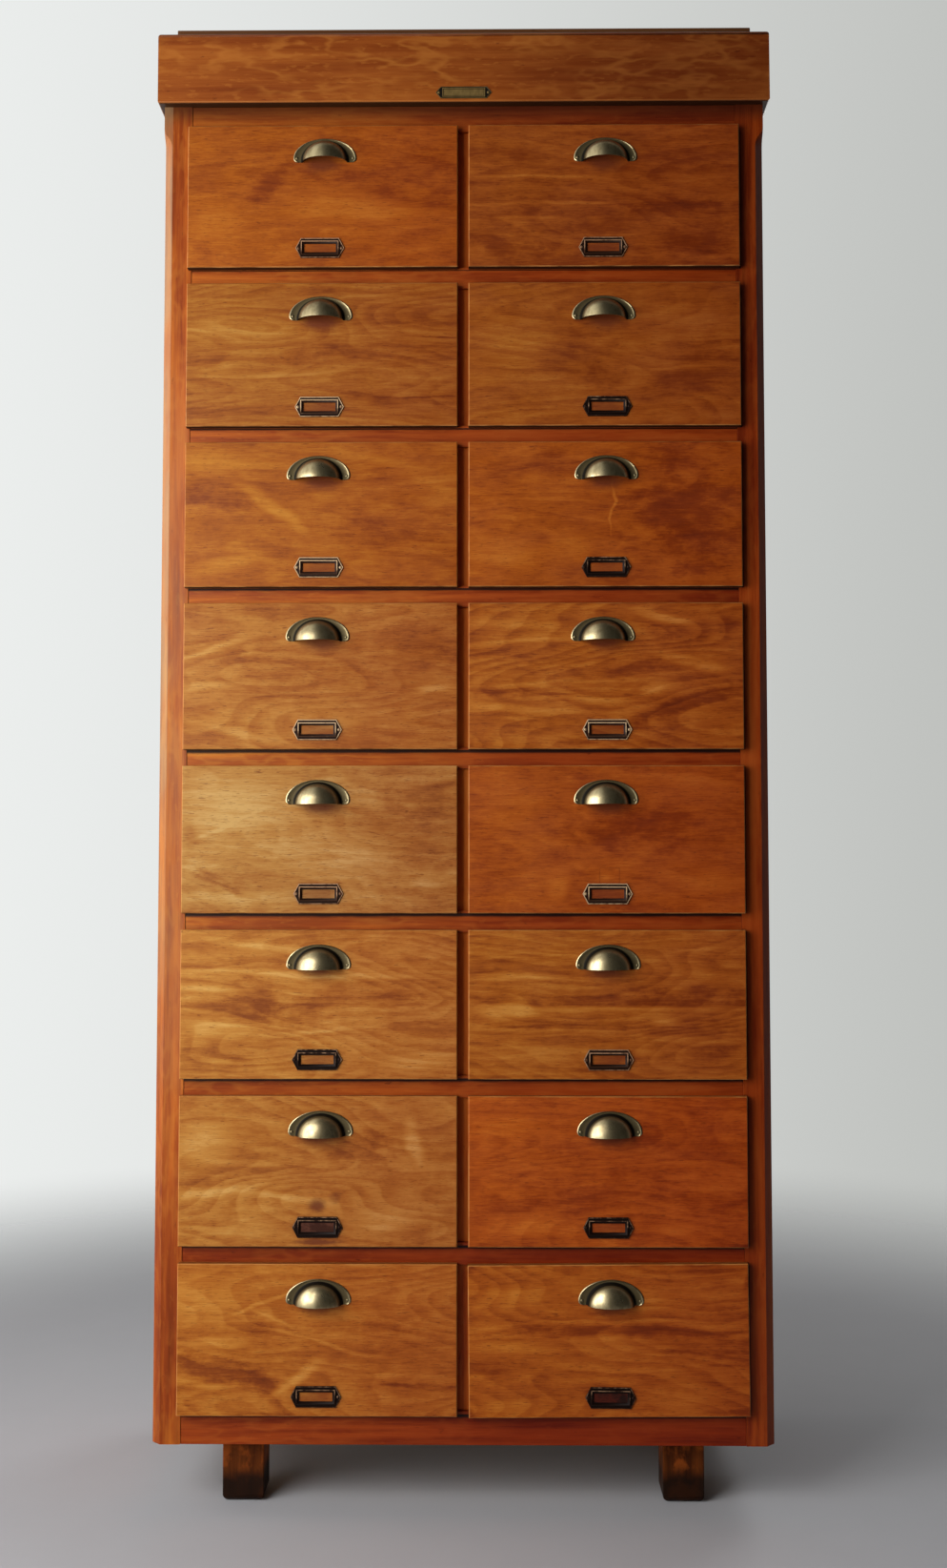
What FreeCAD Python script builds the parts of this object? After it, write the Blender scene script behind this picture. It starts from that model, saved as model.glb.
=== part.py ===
import FreeCAD, Part
import math
import os

# A tall notary cabinet with two columns of pull-out drawers. All sizes are in millimetres.
# X runs across the front, +Y goes to the back and +Z goes up. The pieces are drawn with
# Y = 0 on the front faces of the corner posts, and saved with the origin on the floor in
# the middle of the box that just holds the cabinet with its drawers shut.

# Case
case_width = 900.0
case_depth = 395.0
post_width = 42.0
post_depth = 45.0
post_chamfer = 12.0
chamfer_stop_drop = 32.0  # plain square corner left below the crown
chamfer_stop_length = 30.0  # height of the curved end of the chamfer
foot_height = 92.0

# Rows and columns of drawers
rows = 8
row_pitch = 240.0
rail_height = 32.0
muntin_width = 24.0

# Front frame
bottom_rail_height = 48.0
top_rail_height = 39.0
rail_thickness = 24.0
rail_setback = 1.0
muntin_setback = 6.0  # measured from the faces of the rails
tenon_length = 16.0
tenon_thickness = 8.0
tenon_shoulder = 4.0

# Sides, back and inner boards
side_rail_heights = (100.0, 70.0, 80.0)  # bottom, middle and top rail of each side
side_rail_thickness = 24.0
side_rail_setback = 2.0
panel_thickness = 10.0
panel_groove = 8.0
panel_setback = 10.0
back_thickness = 8.0
back_rebate = 10.0
board_thickness = 18.0
runner_width = 24.0
runner_height = 24.0

# Crown and top board
crown_height = 108.0
crown_board = 36.0
crown_lap_front = 13.5
crown_lap_side = 8.0
crown_round = 7.0
crown_bevel = 2.0
top_thickness = 17.0
top_inset_front = 25.0
top_inset_side = 24.0

# Feet
foot_width = 60.0
foot_depth = 60.0
foot_side_inset = 99.0  # side of the case to the outer side of a foot
foot_setback = 31.0
foot_round = 10.0

# Drawers
front_thickness = 12.0
front_lap = 4.0  # how far a drawer front laps the frame on each side
front_gap = 0.5  # air between the post and the back of the front
front_bevel = 1.2
side_play = 2.0  # air between a drawer box and its opening, on each side
runner_play = 0.3
box_headroom = 12.0  # how much lower a drawer box is than its opening
box_back_clearance = 17.5
box_board = 12.0
box_bottom = 5.0
box_bottom_lift = 8.0  # lower edge of the box to the groove for its bottom
box_groove = 5.0
groove_play = 0.3

# Cup pulls
pull_width = 94.0
pull_height = 36.0
pull_projection = 24.0
pull_plate = 1.5
pull_shell = 1.5
pull_side_rim = 9.0  # back plate showing on each side of the cup
pull_top_rim = 5.0
pull_end_height = 6.0  # lower ends of the back plate, below its half ellipse
pull_facets = 12
pull_levels = 4
pull_drop = 39.0  # top edge of the drawer front to the middle of the pull

# Card frames
card_width = 73.0
card_height = 30.0
card_point = 8.0  # length of each pointed end
card_plate = 1.2
card_rim = 1.2  # width of the raised rim round the plate
card_rim_height = 0.9
card_window = (48.0, 13.0)
card_bezel_rim = 4.5  # width of the raised bezel round the window
card_bezel_height = 1.8
card_slope = 2.0
card_pocket_rim = 2.5  # how far the card lies behind the bezel
card_pocket_depth = 1.0
card_rise = 28.5  # bottom edge of the drawer front to the middle of the frame

# Round pins that hold the pulls and the card frames
pin_radius = 2.3
pin_tip_radius = 1.3
pin_height = 1.2
pin_facets = 6
pull_pin_inset = 5.5
card_pin_inset = 4.2

# The fittings were set by hand, so each sits a little off the middle of its front.
# One shift along X for each row, from the top row down.
pull_shifts = {
    "left": (3.5, -1.5, -4.0, -4.0, -2.5, 0.0, 4.0, 2.0),
    "right": (2.5, -1.0, 2.0, -4.0, -0.5, 1.5, 2.5, 4.0),
}
card_shifts = {
    "left": (-3.5, -3.0, -3.0, -4.0, -1.0, -1.5, 0.0, -1.0),
    "right": (-1.5, 3.5, 1.0, 1.5, 1.0, 1.5, 0.0, 1.5),
}
# The lowest front on the right has dropped at its inner end.
front_tilts = {("right", 8): 0.5}

# Sizes that follow from the ones above
half_width = case_width / 2
inner_half = half_width - post_width
half_muntin = muntin_width / 2
opening_width = inner_half - half_muntin
opening_height = row_pitch - rail_height
first_opening = foot_height + bottom_rail_height
case_top = first_opening + rows * row_pitch - rail_height + top_rail_height
rail_front = rail_setback
rail_back = rail_setback + rail_thickness
back_front = case_depth - back_thickness
rear_post_front = case_depth - post_depth
front_face = -front_gap - front_thickness
front_width = opening_width + 2 * front_lap
front_height = opening_height + 2 * front_lap
crown_top = case_top + crown_height
middle_y = (case_depth + front_face - pull_projection) / 2


def vector(x, y, z):
    return FreeCAD.Vector(x, y, z)


def block(x, y, z):
    """A box from three pairs of low and high values."""
    size = [high - low for low, high in (x, y, z)]
    return Part.makeBox(size[0], size[1], size[2], vector(x[0], y[0], z[0]))


def polygon_face(points):
    return Part.Face(Part.makePolygon(points + points[:1]))


def mirrored(solid):
    """The same piece on the other side of the cabinet."""
    return solid.mirror(vector(0, 0, 0), vector(1, 0, 0))


def both_sides(solids):
    return solids + [mirrored(solid) for solid in solids]


def save(name, solids):
    shape = Part.makeCompound(solids)
    shape.translate(vector(0, -middle_y, 0))
    shape.exportStep("parts/" + name + ".step")


def opening_bottom(row):
    """Height of the lower edge of a row's openings. Row 1 is the top row."""
    return first_opening + (rows - row) * row_pitch


def rail_spans():
    """Lower and upper edge of each rail of the front frame, from the bottom up."""
    spans = [(foot_height, first_opening)]
    for row in range(rows, 1, -1):
        low = opening_bottom(row) + opening_height
        spans.append((low, low + rail_height))
    spans.append((case_top - top_rail_height, case_top))
    return spans


def rail_tenon(span, side):
    """The tenon on one end of a rail. side is -1 for the left end and 1 for the right."""
    ends = sorted((side * inner_half, side * (inner_half + tenon_length)))
    middle = (rail_front + rail_back) / 2
    cheeks = (middle - tenon_thickness / 2, middle + tenon_thickness / 2)
    return block(ends, cheeks, (span[0] + tenon_shoulder, span[1] - tenon_shoulder))


def chamfer_cutter():
    """What the stopped chamfer takes off the outer front corner of the left post.

    The profile lies in the upright plane through the corner at 45 degrees. It runs from the
    post's foot to the stop, where two equal arcs bring it out to the corner as an ogee.
    """
    depth = post_chamfer / math.sqrt(2)
    outside = -post_chamfer
    low = foot_height - post_chamfer
    stop = case_top - chamfer_stop_drop - chamfer_stop_length
    end = stop + chamfer_stop_length
    radius = (depth**2 + chamfer_stop_length**2) / (4 * depth)
    half_turn = math.asin(chamfer_stop_length / 2 / radius) / 2

    def at(inward, z):
        run = inward / math.sqrt(2)
        return vector(-half_width + run, run, z)

    first_middle = at(depth - radius + radius * math.cos(half_turn), stop + radius * math.sin(half_turn))
    second_middle = at(radius - radius * math.cos(half_turn), end - radius * math.sin(half_turn))
    bend = at(depth / 2, stop + chamfer_stop_length / 2)
    edges = [
        Part.makeLine(at(outside, low), at(depth, low)),
        Part.makeLine(at(depth, low), at(depth, stop)),
        Part.Arc(at(depth, stop), first_middle, bend).toShape(),
        Part.Arc(bend, second_middle, at(0, end)).toShape(),
        Part.makeLine(at(0, end), at(outside, end)),
        Part.makeLine(at(outside, end), at(outside, low)),
    ]
    profile = Part.Face(Part.Wire(edges))
    across = vector(1, -1, 0) * post_chamfer
    profile.translate(across * -1)
    return profile.extrude(across * 2)


def panel_plane():
    """Outer and inner face of the left side panel, along X."""
    outer = -half_width + panel_setback
    return (outer, outer + panel_thickness)


def front_posts():
    heights = (foot_height, case_top)
    post = block((-half_width, -inner_half), (0, post_depth), heights)
    groove = block(panel_plane(), (post_depth - panel_groove, post_depth), heights)
    mortises = [rail_tenon(span, -1) for span in rail_spans()]
    post = post.cut([chamfer_cutter(), groove] + mortises)
    return both_sides(post.Solids)


def side_rail_spans():
    """Lower and upper edge of the three rails of a side."""
    low, middle, high = side_rail_heights
    centre = (foot_height + case_top) / 2
    return [
        (foot_height, foot_height + low),
        (centre - middle / 2, centre + middle / 2),
        (case_top - high, case_top),
    ]


def side_panel_spans():
    """Lower and upper edge of the two panels of a side, which stand in the rails' grooves."""
    low, middle, high = side_rail_spans()
    return [
        (low[1] - panel_groove, middle[0] + panel_groove),
        (middle[1] - panel_groove, high[0] + panel_groove),
    ]


def side_panel_bodies():
    between_posts = (post_depth - panel_groove, rear_post_front + panel_groove)
    return [block(panel_plane(), between_posts, span) for span in side_panel_spans()]


def side_frames():
    """Rear posts and side rails. The rails' tongues fill the posts' grooves."""
    heights = (foot_height, case_top)
    post = block((-half_width, -inner_half), (rear_post_front, case_depth), heights)
    groove = block(panel_plane(), (rear_post_front, rear_post_front + panel_groove), heights)
    rebate = block((-inner_half - back_rebate, -inner_half), (back_front, case_depth), heights)
    solids = post.cut([groove, rebate]).Solids
    outer = -half_width + side_rail_setback
    panels = side_panel_bodies()
    for span in side_rail_spans():
        rail = block((outer, outer + side_rail_thickness), (post_depth, rear_post_front), span)
        tongues = block(panel_plane(), (post_depth - panel_groove, rear_post_front + panel_groove), span)
        rail = rail.fuse(tongues).cut(panels).removeSplitter()
        solids += rail.Solids
    return both_sides(solids)


def front_rails():
    solids = []
    for span in rail_spans():
        rail = block((-inner_half, inner_half), (rail_front, rail_back), span)
        rail = rail.fuse([rail_tenon(span, -1), rail_tenon(span, 1)]).removeSplitter()
        solids += rail.Solids
    return solids


def muntins():
    solids = []
    depth = (rail_front + muntin_setback, rail_back)
    for row in range(1, rows + 1):
        low = opening_bottom(row)
        solids.append(block((-half_muntin, half_muntin), depth, (low, low + opening_height)))
    return solids


def centre_partition():
    heights = (foot_height + board_thickness, case_top - board_thickness)
    return [block((-half_muntin, half_muntin), (rail_back, back_front), heights)]


def case_boards():
    """The top and the bottom of the case, notched round the four posts."""
    reach = half_width - side_rail_setback - side_rail_thickness
    solids = []
    for low in (foot_height, case_top - board_thickness):
        heights = (low, low + board_thickness)
        board = block((-reach, reach), (rail_back, back_front), heights)
        notches = [
            block((-reach, -inner_half), (rail_back, post_depth), heights),
            block((-reach, -inner_half), (rear_post_front, back_front), heights),
        ]
        solids += board.cut(both_sides(notches)).Solids
    return solids


def runners():
    """Two runners for each drawer, one on the posts and one on the partition."""
    solids = []
    for row in range(1, rows + 1):
        top = opening_bottom(row)
        for outer in (-inner_half, -half_muntin - runner_width):
            heights = (top - runner_height, top)
            solids.append(block((outer, outer + runner_width), (rail_back, back_front), heights))
    return both_sides(solids)


def back_panel():
    reach = inner_half + back_rebate
    return [block((-reach, reach), (back_front, case_depth), (foot_height, case_top))]


def crown():
    """Four boards mitred at the corners, rounded above and bevelled below."""
    reach = half_width + crown_lap_side
    outer = block((-reach, reach), (-crown_lap_front, case_depth), (case_top, crown_top))
    upper = [edge for edge in outer.Edges if edge.BoundBox.ZMin > crown_top - crown_round]
    outer = outer.makeFillet(crown_round, upper)
    lower = [edge for edge in outer.Edges if edge.BoundBox.ZMax < case_top + crown_bevel]
    outer = outer.makeChamfer(crown_bevel, lower)
    inner_x = reach - crown_board
    inner_front = -crown_lap_front + crown_board
    inner_back = case_depth - crown_board
    ring = outer.cut(block((-inner_x, inner_x), (inner_front, inner_back), (case_top, crown_top)))
    outside = ((-reach, -crown_lap_front), (reach, -crown_lap_front), (reach, case_depth), (-reach, case_depth))
    inside = ((-inner_x, inner_front), (inner_x, inner_front), (inner_x, inner_back), (-inner_x, inner_back))
    solids = []
    for corner in range(4):
        after = (corner + 1) % 4
        plan = [outside[corner], outside[after], inside[after], inside[corner]]
        face = polygon_face([vector(x, y, case_top) for x, y in plan])
        solids += ring.common(face.extrude(vector(0, 0, crown_height))).Solids
    return solids


def top_board():
    reach = half_width + crown_lap_side - top_inset_side
    depth = (-crown_lap_front + top_inset_front, case_depth)
    return [block((-reach, reach), depth, (crown_top, crown_top + top_thickness))]


def feet():
    solids = []
    outer = -half_width + foot_side_inset
    for front in (foot_setback, case_depth - foot_setback - foot_depth):
        foot = block((outer, outer + foot_width), (front, front + foot_depth), (0, foot_height))
        sole = [edge for edge in foot.Edges if edge.BoundBox.ZMax < foot_round]
        solids.append(foot.makeFillet(foot_round, sole))
    return both_sides(solids)


def front_place(column, row):
    """Low and high X and Z of a drawer front."""
    inner = half_muntin - front_lap
    across = (inner, inner + front_width)
    if column == "left":
        across = (-across[1], -across[0])
    low = opening_bottom(row) - front_lap
    return across, (low, low + front_height)


def tilted(solids, column, row):
    """Turns a front and its fittings where they hang askew."""
    across, heights = front_place(column, row)
    pivot = vector(sum(across) / 2, 0, sum(heights) / 2)
    turned = []
    for solid in solids:
        turned.append(solid.rotated(pivot, vector(0, 1, 0), -front_tilts.get((column, row), 0)))
    return turned


def drawer_front(column, row):
    across, heights = front_place(column, row)
    panel = block(across, (front_face, -front_gap), heights)
    rim = [edge for edge in panel.Edges if edge.BoundBox.YMax < front_face + front_bevel]
    return tilted([panel.makeChamfer(front_bevel, rim)], column, row)


def drawer_box(column, row):
    """Inner front, back, two sides and a bottom that slides in grooves."""
    opening = sorted((half_muntin, inner_half))
    if column == "left":
        opening = [-opening[1], -opening[0]]
    outer = (opening[0] + side_play, opening[1] - side_play)
    inner = (outer[0] + box_board, outer[1] - box_board)
    low = opening_bottom(row) + runner_play
    heights = (low, low + opening_height - box_headroom)
    front = -front_gap
    back = back_front - box_back_clearance
    floor_low = low + box_bottom_lift
    floor = (floor_low, floor_low + box_bottom)
    grooved = block(
        (inner[0] - box_groove, inner[1] + box_groove),
        (front + box_board - box_groove, back),
        floor,
    )
    floor_across = (inner[0] - box_groove + groove_play, inner[1] + box_groove - groove_play)
    bottom = block(floor_across, (front + box_board - box_groove + groove_play, back), floor)
    inner_front = block(inner, (front, front + box_board), heights).cut(grooved)
    box_back = block(inner, (back - box_board, back), (floor[1], heights[1]))
    sides = [
        block((outer[0], inner[0]), (front, back), heights).cut(grooved),
        block((inner[1], outer[1]), (front, back), heights).cut(grooved),
    ]
    solids = [bottom, box_back]
    for grooved_board in [inner_front] + sides:
        solids += grooved_board.Solids
    return solids


def half_ellipse(width, height, steps):
    """Points of an upper half ellipse about the origin, from right to left."""
    points = []
    for step in range(steps + 1):
        angle = math.pi * step / steps
        points.append((width / 2 * math.cos(angle), height * math.sin(angle)))
    return points


def cup_body(width, height, projection):
    """Half a dome standing on its open side, its flat back on the plane Y = 0.

    Each level is a half ellipse in plan, and the levels shrink as a quarter circle does.
    """
    wires = []
    for level in range(pull_levels + 1):
        angle = math.pi / 2 * level / (pull_levels + 0.5)
        share = math.cos(angle)
        plan = half_ellipse(width * share, projection * share, pull_facets)
        points = [vector(x, -y, height * math.sin(angle)) for x, y in plan]
        wires.append(Part.makePolygon(points + points[:1]))
    return Part.makeLoft(wires, True, True)


def pin(x, z, seat):
    """A pin's low round head, standing out from a plate whose face is at Y = -seat."""
    rings = []
    for radius, out in ((pin_radius, 0), (pin_tip_radius, pin_height)):
        points = []
        for step in range(pin_facets):
            angle = 2 * math.pi * (step + 0.5) / pin_facets
            points.append(vector(x + radius * math.cos(angle), -seat - out, z + radius * math.sin(angle)))
        rings.append(Part.makePolygon(points + points[:1]))
    return Part.makeLoft(rings, True, True)


def cup_pull():
    """A shell open below on a half-oval back plate, about the middle of its height."""
    low = -pull_height / 2
    shoulder = low + pull_end_height
    arch = half_ellipse(pull_width, pull_height - pull_end_height, pull_facets)
    outline = [vector(x, 0, shoulder + z) for x, z in arch]
    corner = pull_width / 2 - pull_end_height
    outline += [vector(-corner, 0, low), vector(corner, 0, low)]
    plate = polygon_face(outline).extrude(vector(0, -pull_plate, 0))
    width = pull_width - 2 * pull_side_rim
    height = pull_height - pull_top_rim
    outer = cup_body(width, height, pull_projection)
    inner = cup_body(width - 2 * pull_shell, height - pull_shell, pull_projection - pull_shell)
    outer.translate(vector(0, 0, low))
    inner.translate(vector(0, 0, low))
    pull = plate.fuse(outer).cut(inner).removeSplitter()
    side = pull_width / 2 - pull_pin_inset
    pins = [pin(-side, shoulder, pull_plate), pin(side, shoulder, pull_plate)]
    return pull.Solids + pins


def rectangle_wire(rim, y):
    """The outline that lies this far outside the card frame's window."""
    x = card_window[0] / 2 + rim
    z = card_window[1] / 2 + rim
    points = [vector(-x, y, -z), vector(x, y, -z), vector(x, y, z), vector(-x, y, z)]
    return Part.makePolygon(points + points[:1])


def card_face(inset):
    """The plate's six-sided face, or the face that lies this far inside it."""
    half = card_height / 2
    tip = card_width / 2 - inset * math.hypot(card_point, half) / half
    top = half - inset
    flat = tip - top * card_point / half
    outline = [(tip, 0), (flat, top), (-flat, top), (-tip, 0), (-flat, -top), (flat, -top)]
    return polygon_face([vector(x, 0, z) for x, z in outline])


def card_frame():
    """A six-sided plate with a raised rim, a bezel round its window and a pocket for the card."""
    plate = card_face(0).extrude(vector(0, -card_plate, 0))
    edge = vector(0, -card_plate - card_rim_height, 0)
    rim = card_face(0).extrude(edge).cut(card_face(card_rim).extrude(edge))
    face = card_plate + card_bezel_height
    foot = rectangle_wire(card_bezel_rim, -card_plate)
    ridge = rectangle_wire(card_bezel_rim - card_slope, -face)
    bezel = Part.makeLoft([foot, ridge], True, True)
    window = Part.Face(rectangle_wire(0, 0)).extrude(vector(0, -face, 0))
    pocket = Part.Face(rectangle_wire(card_pocket_rim, 0)).extrude(vector(0, -card_pocket_depth, 0))
    frame = plate.fuse([rim, bezel]).cut([window, pocket]).removeSplitter()
    side = card_width / 2 - card_pin_inset
    return frame.Solids + [pin(-side, 0, card_plate), pin(side, 0, card_plate)]


def fittings(column, row):
    across, heights = front_place(column, row)
    middle = sum(across) / 2
    pull_x = middle + pull_shifts[column][(row - 1) % len(pull_shifts[column])]
    card_x = middle + card_shifts[column][(row - 1) % len(card_shifts[column])]
    solids = []
    for solid in cup_pull():
        solids.append(solid.translated(vector(pull_x, front_face, heights[1] - pull_drop)))
    for solid in card_frame():
        solids.append(solid.translated(vector(card_x, front_face, heights[0] + card_rise)))
    return tilted(solids, column, row)


os.makedirs("parts", exist_ok=True)
save("front_posts", front_posts())
save("side_frames", side_frames())
save("side_panels", both_sides(side_panel_bodies()))
save("front_rails", front_rails())
save("muntins", muntins())
save("centre_partition", centre_partition())
save("case_boards", case_boards())
save("runners", runners())
save("back_panel", back_panel())
save("crown", crown())
save("top_board", top_board())
save("feet", feet())
for column in ("left", "right"):
    for row in range(1, rows + 1):
        save(column + "_front_" + str(row), drawer_front(column, row))
        save(column + "_box_" + str(row), drawer_box(column, row))
        save(column + "_fittings_" + str(row), fittings(column, row))
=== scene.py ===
import bpy
import math
from mathutils import Matrix, Vector


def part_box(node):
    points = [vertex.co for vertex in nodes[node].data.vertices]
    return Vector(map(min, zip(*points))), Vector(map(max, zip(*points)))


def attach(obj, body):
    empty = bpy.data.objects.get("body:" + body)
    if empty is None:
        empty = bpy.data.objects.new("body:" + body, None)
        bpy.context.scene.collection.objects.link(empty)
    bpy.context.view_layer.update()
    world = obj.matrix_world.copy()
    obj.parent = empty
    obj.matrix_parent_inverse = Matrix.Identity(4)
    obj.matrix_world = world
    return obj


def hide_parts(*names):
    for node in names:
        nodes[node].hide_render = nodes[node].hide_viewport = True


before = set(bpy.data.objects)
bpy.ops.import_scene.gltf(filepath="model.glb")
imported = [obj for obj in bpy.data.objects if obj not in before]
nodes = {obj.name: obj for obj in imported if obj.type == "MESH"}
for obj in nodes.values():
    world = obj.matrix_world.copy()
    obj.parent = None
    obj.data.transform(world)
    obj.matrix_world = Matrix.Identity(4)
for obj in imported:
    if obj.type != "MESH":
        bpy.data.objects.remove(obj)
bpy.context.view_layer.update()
scene = bpy.context.scene
sides = ("left", "right")
rows = range(1, 9)  # counted from the top
print("frame loaded:", len(nodes), "nodes")


# Short forms for building node trees
def addNode(tree, kind, inputs=None, **settings):
    made = tree.nodes.new(kind)
    for key, value in settings.items():
        setattr(made, key, value)
    for key, value in (inputs or {}).items():
        if isinstance(value, bpy.types.NodeSocket):
            tree.links.new(value, made.inputs[key])
        else:
            made.inputs[key].default_value = value
    return made


# A node in the tree that its inputs come from
def addAfter(kind, inputs, **settings):
    tree = next(value.id_data for value in inputs.values() if isinstance(value, bpy.types.NodeSocket))
    return addNode(tree, kind, inputs, **settings)


def calc(operation, first, second=0.5, third=0.5, clamp=False):
    inputs = {0: first, 1: second, 2: third}
    return addAfter("ShaderNodeMath", inputs, operation=operation, use_clamp=clamp).outputs[0]


def plus(first, second):
    return calc("ADD", first, second)


def minus(first, second):
    return calc("SUBTRACT", first, second)


def times(product, *factors):
    for factor in factors:
        product = calc("MULTIPLY", product, factor)
    return product


# A value that lies round 0.5 is spread by an amount, round a base
def centred(value, amount, base):
    return calc("MULTIPLY_ADD", minus(value, 0.5), amount, base)


def vectorCalc(operation, first, second=(0, 0, 0), output=0):
    return addAfter("ShaderNodeVectorMath", {0: first, 1: second}, operation=operation).outputs[output]


def scaled(vector, factors):
    return vectorCalc("MULTIPLY", vector, factors)


def ease(value, start, end, low=0.0, high=1.0):
    inputs = {0: value, 1: start, 2: end, 3: low, 4: high}
    return addAfter("ShaderNodeMapRange", inputs, interpolation_type="SMOOTHSTEP").outputs[0]


def noise(place, stretch, detail=2.0, rough=0.5, output=0):
    inputs = {"Vector": scaled(place, stretch), "Scale": 1.0, "Detail": detail, "Roughness": rough}
    return addAfter("ShaderNodeTexNoise", inputs).outputs[output]


# Noise with three values, which lie round zero
def driftOf(place, stretch, detail):
    return vectorCalc("SUBTRACT", noise(place, stretch, detail, output=1), (0.5, 0.5, 0.5))


def mix(amount, first, second):
    inputs = {0: amount}
    for key, colour in ((6, first), (7, second)):
        inputs[key] = colour if isinstance(colour, bpy.types.NodeSocket) else (*colour, 1)
    return addAfter("ShaderNodeMix", inputs, data_type="RGBA").outputs[2]


def choose(amount, first, second):
    return addAfter("ShaderNodeMix", {0: amount, 4: first, 5: second}, data_type="VECTOR").outputs[1]


def ramp(value, stops):
    made = addAfter("ShaderNodeValToRGB", {0: value})
    points = made.color_ramp.elements
    while len(points) < len(stops):
        points.new(0.5)
    for point, (position, colour) in zip(points, stops):
        point.position = position
        point.color = (*colour, 1)
    return made.outputs[0]


def split(vector):
    return addAfter("ShaderNodeSeparateXYZ", {0: vector}).outputs


def join(x, y, z):
    return addAfter("ShaderNodeCombineXYZ", {0: x, 1: y, 2: z}).outputs[0]


def surfaceNormal(shader):
    return addNode(shader.id_data, "ShaderNodeNewGeometry").outputs["Normal"]


# Links the shader's sockets, or sets the ones that stay constant
def setShader(shader, **values):
    for key, value in values.items():
        target = shader.inputs[key.replace("_", " ")]
        if isinstance(value, bpy.types.NodeSocket):
            shader.id_data.links.new(value, target)
        else:
            target.default_value = value


# Every tree starts from the object's own coordinates, which are the cabinet's, in metres
def startMaterial(name, **shaderValues):
    material = bpy.data.materials.new(name)
    material.use_nodes = True
    tree = material.node_tree
    shader = tree.nodes["Principled BSDF"]
    setShader(shader, **shaderValues)
    return material, shader, addNode(tree, "ShaderNodeTexCoord").outputs["Object"]


def addBump(shader, height, depth):
    bump = addAfter("ShaderNodeBump", {"Strength": 1.0, "Distance": depth, "Height": height})
    setShader(shader, Normal=bump.outputs[0])


# Camera: stands right of the middle, at the height of the fifth row, and looks a little up
cameraLook = {
    "place": (0.0386, -2.505, 0.924),
    "pitch": 2.99,  # degrees up
    "turn": 0.57,  # degrees to the left
    "lens": 36.36,
    "sensor": 36.0,  # along the picture's height
}


def addCamera():
    data = bpy.data.cameras.new("camera")
    data.sensor_fit = "VERTICAL"
    data.sensor_height = cameraLook["sensor"]
    data.sensor_width = cameraLook["sensor"]
    data.lens = cameraLook["lens"]
    camera = bpy.data.objects.new("camera", data)
    camera.location = cameraLook["place"]
    camera.rotation_euler = (math.radians(90 + cameraLook["pitch"]), 0, math.radians(cameraLook["turn"]))
    scene.collection.objects.link(camera)
    scene.camera = camera


addCamera()
scene.view_settings.view_transform = "Standard"
print("camera placed")

# World: pale on the left, where a window would be, dimmer on the right. In front of the cabinet
# reflections find a bright side on the left and a dark room on the right.
worldLook = {
    "pale": (0.86, 0.88, 0.87),
    "dim": (0.47, 0.48, 0.46),
    "frontLeft": 1.6,
    "frontRight": 0.05,
    "fill": 0.4,
    "fillBehind": 0.3,
}


def addWorld():
    world = bpy.data.worlds.new("world")
    world.use_nodes = True
    tree = world.node_tree
    tree.nodes.clear()
    x, y, z = split(addNode(tree, "ShaderNodeTexCoord").outputs["Generated"])
    colour = mix(ease(x, -0.45, 0.5), worldLook["pale"], worldLook["dim"])
    room = ease(x, -0.55, -0.02, worldLook["frontLeft"], worldLook["frontRight"])
    inFront = ease(y, 0.25, -0.2)
    level = calc("MULTIPLY_ADD", minus(room, 1.0), inFront, 1.0)
    rays = addNode(tree, "ShaderNodeLightPath").outputs
    seen = calc("MAXIMUM", rays["Is Camera Ray"], rays["Is Transmission Ray"])
    diffuse = times(calc("MINIMUM", level, 1.0), worldLook["fill"])
    diffuse = times(diffuse, ease(y, 0.0, 0.5, 1.0, worldLook["fillBehind"]))
    unseen = calc("MULTIPLY_ADD", minus(level, diffuse), rays["Is Glossy Ray"], diffuse)
    backdrop = addAfter("ShaderNodeBackground", {0: colour, 1: 1.0})
    roomLight = addAfter("ShaderNodeBackground", {0: colour, 1: unseen})
    both = addAfter("ShaderNodeMixShader", {0: seen, 1: roomLight.outputs[0], 2: backdrop.outputs[0]})
    addAfter("ShaderNodeOutputWorld", {0: both.outputs[0]})
    scene.world = world


# Lamps: a tall soft window in front on the left, one beside the cabinet, a weak high one and one
# behind
lampLooks = {
    "window": {"place": (-1.22, -1.66, 1.36), "aim": (-0.15, -0.19, 1.0), "size": (1.05, 1.6), "watts": 29},
    "side": {"place": (-1.95, -1.2, 1.2), "aim": (-0.3, -0.19, 0.95), "size": (0.9, 2.0), "watts": 26},
    "high": {"place": (-2.6, 0.1, 2.4), "aim": (-0.45, -0.15, 1.4), "size": (0.6, 1.6), "watts": 8},
    "back": {"place": (1.9, 2.5, 2.9), "aim": (0.0, 0.0, 1.3), "size": (1.6, 1.6), "watts": 34},
}


def addLamp(name, look):
    data = bpy.data.lights.new(name, "AREA")
    data.shape = "RECTANGLE"
    data.size, data.size_y = look["size"]
    data.energy = look["watts"]
    lamp = bpy.data.objects.new(name, data)
    lamp.location = look["place"]
    toward = Vector(look["aim"]) - Vector(look["place"])
    lamp.rotation_euler = toward.to_track_quat("-Z", "Y").to_euler()
    scene.collection.objects.link(lamp)


# Floor: a pale disc that fades out all round, so it shows no edge from any side
floorLook = {
    "radius": 3.6,
    "corners": 96,
    "fade": (1.1, 2.7),
    "colour": (0.47, 0.47, 0.49),
    "darker": 0.94,  # the darkest of its speckles
    "speckle": ((9, 9, 9), 6, 0.6),
}


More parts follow.
